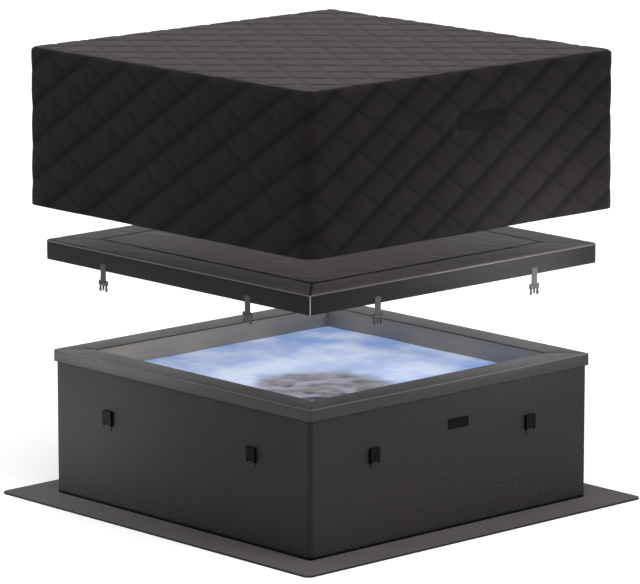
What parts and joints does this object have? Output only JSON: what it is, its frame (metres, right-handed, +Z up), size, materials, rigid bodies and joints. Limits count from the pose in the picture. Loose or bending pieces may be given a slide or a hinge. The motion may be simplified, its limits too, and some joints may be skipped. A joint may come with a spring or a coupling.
{
  "type": "foam hot tub",
  "caption": "Square foam-walled hot tub on a ground mat, with padded rim caps, a buckled insulated lid and a quilted thermal cover raised above it, water fittings and a filter behind.",
  "frame": {"origin": "middle of the ground mat's underside", "axes": "+Z up, +X towards the wall with the badge, -Y towards the front wall; the water fittings are in the rear wall, +Y"},
  "size_m": [2.23, 2.23, 2.2213],
  "materials": {
    "mat": "matte",
    "foam": "matte",
    "wall_vinyl": "satin",
    "liner": "satin",
    "rim_leatherette": "satin",
    "lid_leatherette": "satin",
    "quilt": "matte",
    "webbing": "matte",
    "prongs": "satin",
    "socket": "satin",
    "badge": "gloss",
    "fitting": "satin",
    "pleats": "matte"
  },
  "bodies": {
    "tub": {"ground_mat": "mat", "floor_foam": "foam", "inner_liner": "liner", "outer_skin": "wall_vinyl", "wall_foam_front": "foam", "wall_foam_right": "foam", "wall_foam_rear_1": "foam", "wall_foam_rear_2": "foam", "wall_foam_rear_3": "foam", "wall_foam_left": "foam", "rim_cap_front": "rim_leatherette", "rim_cap_right": "rim_leatherette", "rim_cap_rear": "rim_leatherette", "rim_cap_left": "rim_leatherette", "buckle_socket_front_1": "socket", "buckle_socket_front_2": "socket", "buckle_socket_right_1": "socket", "buckle_socket_right_2": "socket", "buckle_socket_rear_1": "socket", "buckle_socket_rear_2": "socket", "buckle_socket_left_1": "socket", "buckle_socket_left_2": "socket", "tub_badge": "badge", "inlet_fitting": "fitting", "outlet_fitting": "fitting", "air_fitting": "fitting", "drain_fitting": "fitting", "bubble_ring": "fitting", "air_block": "fitting"},
    "lid": {"lid_top": "lid_leatherette", "lid_core": "foam", "lid_skirt": "lid_leatherette"},
    "cover": {"cover_top": "quilt", "cover_side_front": "quilt", "cover_side_right": "quilt", "cover_side_rear": "quilt", "cover_side_left": "quilt", "cover_badge": "badge"},
    "strap_front_1": {"strap_front_1": "webbing"},
    "prongs_front_1": {"buckle_prongs_front_1": "prongs"},
    "strap_front_2": {"strap_front_2": "webbing"},
    "prongs_front_2": {"buckle_prongs_front_2": "prongs"},
    "strap_right_1": {"strap_right_1": "webbing"},
    "prongs_right_1": {"buckle_prongs_right_1": "prongs"},
    "strap_right_2": {"strap_right_2": "webbing"},
    "prongs_right_2": {"buckle_prongs_right_2": "prongs"},
    "strap_rear_1": {"strap_rear_1": "webbing"},
    "prongs_rear_1": {"buckle_prongs_rear_1": "prongs"},
    "strap_rear_2": {"strap_rear_2": "webbing"},
    "prongs_rear_2": {"buckle_prongs_rear_2": "prongs"},
    "strap_left_1": {"strap_left_1": "webbing"},
    "prongs_left_1": {"buckle_prongs_left_1": "prongs"},
    "strap_left_2": {"strap_left_2": "webbing"},
    "prongs_left_2": {"buckle_prongs_left_2": "prongs"},
    "inlet_cap": {"inlet_cap": "fitting"},
    "outlet_cap": {"outlet_cap": "fitting"},
    "air_cap": {"air_cap": "fitting"},
    "drain_cap": {"drain_cap": "fitting"},
    "filter_cartridge": {"filter_cartridge": "pleats"},
    "filter_cup": {"filter_cup": "fitting"}
  },
  "joints": [
    {"name": "lid_lift", "type": "slide", "parent": "tub", "child": "lid", "axis": [0, 0, 1], "range_m": [-0.502, 0]},
    {"name": "cover_lift", "type": "slide", "parent": "lid", "child": "cover", "axis": [0, 0, 1], "range_m": [-0.929, 0]},
    {"name": "strap_bend_front_1", "type": "hinge", "parent": "lid", "child": "strap_front_1", "pos_m": [-0.518, -0.946, 1.1768], "axis": [-1, 0, 0], "range_deg": [0, 80]},
    {"name": "buckle_turn_front_1", "type": "hinge", "parent": "strap_front_1", "child": "prongs_front_1", "pos_m": [-0.518, -0.946, 1.1283], "axis": [-1, 0, 0], "range_deg": [0, 90]},
    {"name": "strap_bend_front_2", "type": "hinge", "parent": "lid", "child": "strap_front_2", "pos_m": [0.518, -0.946, 1.1768], "axis": [-1, 0, 0], "range_deg": [0, 80]},
    {"name": "buckle_turn_front_2", "type": "hinge", "parent": "strap_front_2", "child": "prongs_front_2", "pos_m": [0.518, -0.946, 1.1283], "axis": [-1, 0, 0], "range_deg": [0, 90]},
    {"name": "strap_bend_right_1", "type": "hinge", "parent": "lid", "child": "strap_right_1", "pos_m": [0.946, -0.518, 1.1768], "axis": [0, -1, 0], "range_deg": [0, 80]},
    {"name": "buckle_turn_right_1", "type": "hinge", "parent": "strap_right_1", "child": "prongs_right_1", "pos_m": [0.946, -0.518, 1.1283], "axis": [0, -1, 0], "range_deg": [0, 90]},
    {"name": "strap_bend_right_2", "type": "hinge", "parent": "lid", "child": "strap_right_2", "pos_m": [0.946, 0.518, 1.1768], "axis": [0, -1, 0], "range_deg": [0, 80]},
    {"name": "buckle_turn_right_2", "type": "hinge", "parent": "strap_right_2", "child": "prongs_right_2", "pos_m": [0.946, 0.518, 1.1283], "axis": [0, -1, 0], "range_deg": [0, 90]},
    {"name": "strap_bend_rear_1", "type": "hinge", "parent": "lid", "child": "strap_rear_1", "pos_m": [0.518, 0.946, 1.1768], "axis": [1, 0, 0], "range_deg": [0, 80]},
    {"name": "buckle_turn_rear_1", "type": "hinge", "parent": "strap_rear_1", "child": "prongs_rear_1", "pos_m": [0.518, 0.946, 1.1283], "axis": [1, 0, 0], "range_deg": [0, 90]},
    {"name": "strap_bend_rear_2", "type": "hinge", "parent": "lid", "child": "strap_rear_2", "pos_m": [-0.518, 0.946, 1.1768], "axis": [1, 0, 0], "range_deg": [0, 80]},
    {"name": "buckle_turn_rear_2", "type": "hinge", "parent": "strap_rear_2", "child": "prongs_rear_2", "pos_m": [-0.518, 0.946, 1.1283], "axis": [1, 0, 0], "range_deg": [0, 90]},
    {"name": "strap_bend_left_1", "type": "hinge", "parent": "lid", "child": "strap_left_1", "pos_m": [-0.946, 0.518, 1.1768], "axis": [0, 1, 0], "range_deg": [0, 80]},
    {"name": "buckle_turn_left_1", "type": "hinge", "parent": "strap_left_1", "child": "prongs_left_1", "pos_m": [-0.946, 0.518, 1.1283], "axis": [0, 1, 0], "range_deg": [0, 90]},
    {"name": "strap_bend_left_2", "type": "hinge", "parent": "lid", "child": "strap_left_2", "pos_m": [-0.946, -0.518, 1.1768], "axis": [0, 1, 0], "range_deg": [0, 80]},
    {"name": "buckle_turn_left_2", "type": "hinge", "parent": "strap_left_2", "child": "prongs_left_2", "pos_m": [-0.946, -0.518, 1.1283], "axis": [0, 1, 0], "range_deg": [0, 90]},
    {"name": "inlet_cap_off", "type": "slide", "parent": "tub", "child": "inlet_cap", "axis": [0, 1, 0], "range_m": [0, 0.06]},
    {"name": "outlet_cap_off", "type": "slide", "parent": "tub", "child": "outlet_cap", "axis": [0, 1, 0], "range_m": [0, 0.06]},
    {"name": "air_cap_off", "type": "slide", "parent": "tub", "child": "air_cap", "axis": [0, 1, 0], "range_m": [0, 0.09]},
    {"name": "drain_cap_off", "type": "slide", "parent": "tub", "child": "drain_cap", "axis": [0, 1, 0], "range_m": [0, 0.09]},
    {"name": "filter_off", "type": "slide", "parent": "tub", "child": "filter_cartridge", "axis": [0, -1, 0], "range_m": [0, 0.12]},
    {"name": "cup_off", "type": "slide", "parent": "filter_cartridge", "child": "filter_cup", "axis": [0, -1, 0], "range_m": [0, 0.12]}
  ]
}
